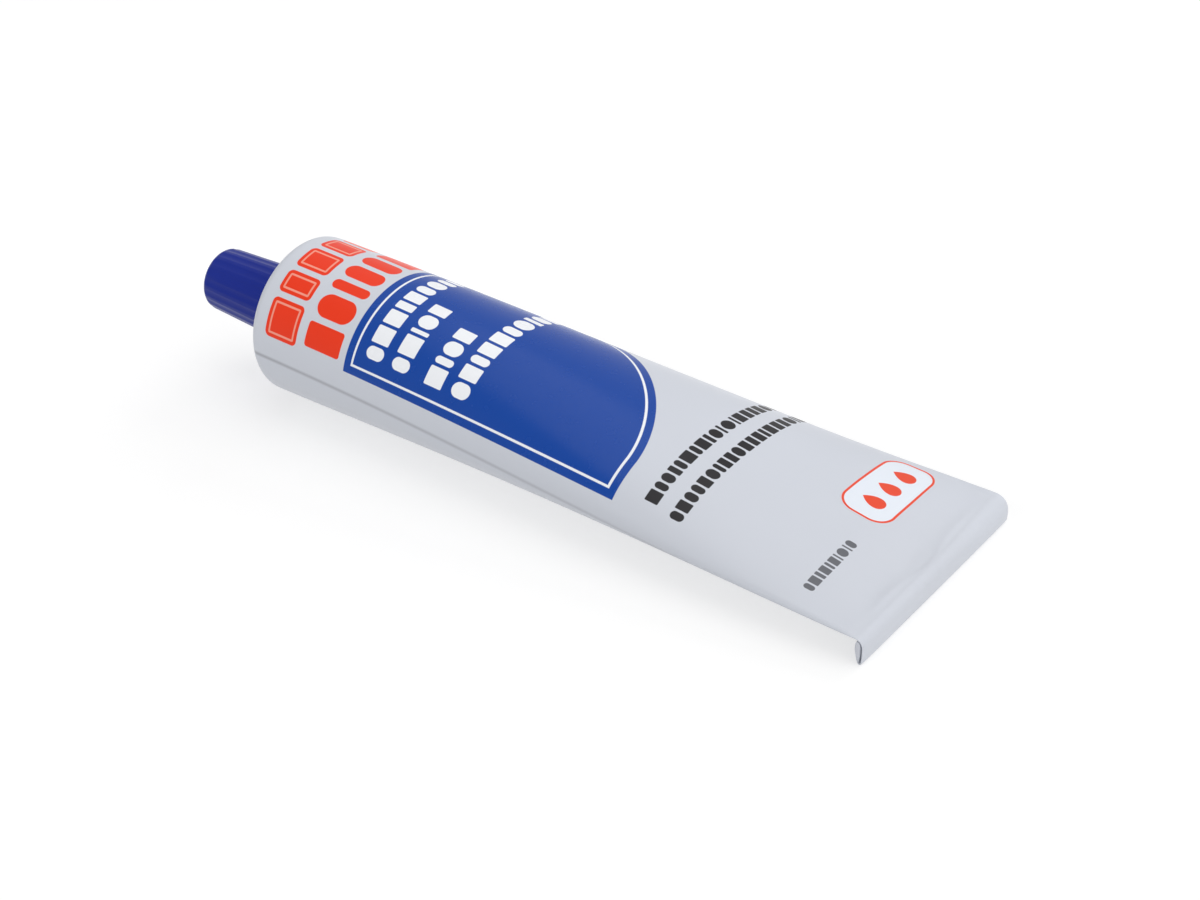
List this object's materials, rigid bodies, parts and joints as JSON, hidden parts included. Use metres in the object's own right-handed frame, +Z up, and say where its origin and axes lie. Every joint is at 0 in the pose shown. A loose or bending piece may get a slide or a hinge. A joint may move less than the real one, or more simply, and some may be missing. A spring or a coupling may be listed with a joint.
{
  "type": "caulk tube",
  "caption": "Filled aluminium squeeze tube of caulk lying on its side, pressed flat and folded at the tail, with a fluted screw cap on its neck.",
  "frame": {"origin": "on the floor, under the middle of the length and width", "axes": "+X from the cap to the tail, +Z up; the tube's own axis tips 5.18 degrees down towards the tail"},
  "size_m": [0.1812, 0.0552, 0.0355],
  "materials": {
    "tube_lacquer": "satin lacquer, printed",
    "cap_plastic": "moulded, glossy"
  },
  "bodies": {
    "tube_body": {"tube": "tube_lacquer"},
    "cap_body": {"cap": "cap_plastic"}
  },
  "joints": [
    {"name": "cap_off", "type": "slide", "parent": "tube_body", "child": "cap_body", "axis": [-0.9959, 0, 0.0903], "range_m": [0, 0.03]}
  ]
}
